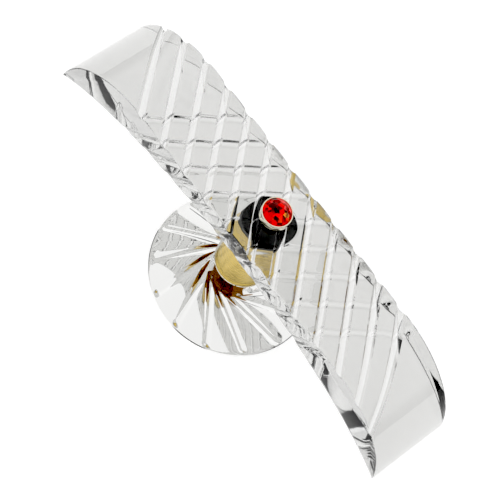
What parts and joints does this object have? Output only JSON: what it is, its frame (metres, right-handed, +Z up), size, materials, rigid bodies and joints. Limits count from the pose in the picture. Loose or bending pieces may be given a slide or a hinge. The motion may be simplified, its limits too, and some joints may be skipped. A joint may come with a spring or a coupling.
{
  "type": "arched glass bar ornament",
  "caption": "Thick clear arched glass bar with crossed diagonal grooves, turning on a gold post above a low fluted chrome foot, held by a cap with a red domed jewel.",
  "frame": {"origin": "on the table, under the axis of the post, in the plane of the felt disc's underside", "axes": "+Z up the post; +X along the glass bar; +Y across it"},
  "size_m": [0.1596, 0.056, 0.0574],
  "materials": {
    "chrome": "mirror bright, fluted",
    "iron": "as cast",
    "felt": "felt",
    "brass": "machined",
    "dark_brass": "oxidised brown",
    "silver": "bright",
    "gold": "satin turned, pale gold",
    "nylon": "moulded",
    "black_rubber": "smooth",
    "clear_glass": "polished, cut grooves",
    "clear_sleeve": "clear moulded",
    "bezel": "bright",
    "foil": "crinkled foil",
    "red_glass": "polished cabochon"
  },
  "bodies": {
    "root": {"foot": "chrome", "foot_weight": "iron", "base_pad": "felt", "foot_washer": "brass", "foot_lock_washer": "brass", "foot_nut": "brass", "tie_rod": "brass", "stem": "dark_brass", "toothed_washer": "dark_brass", "seating_ring": "silver", "post_sleeve": "gold", "post_lower_plug": "nylon", "post_upper_plug": "nylon", "bar_washer": "black_rubber", "cap_washer": "clear_sleeve", "cap_nut": "bezel", "bezel_cup": "bezel", "jewel_foil": "foil", "jewel": "red_glass"},
    "bar": {"glass_bar": "clear_glass", "bar_bush": "clear_sleeve"}
  },
  "joints": [
    {"name": "bar_swivel", "type": "hinge", "parent": "root", "child": "bar", "pos_m": [0, 0, 0.048], "axis": [0, 0, 1], "continuous": true}
  ]
}
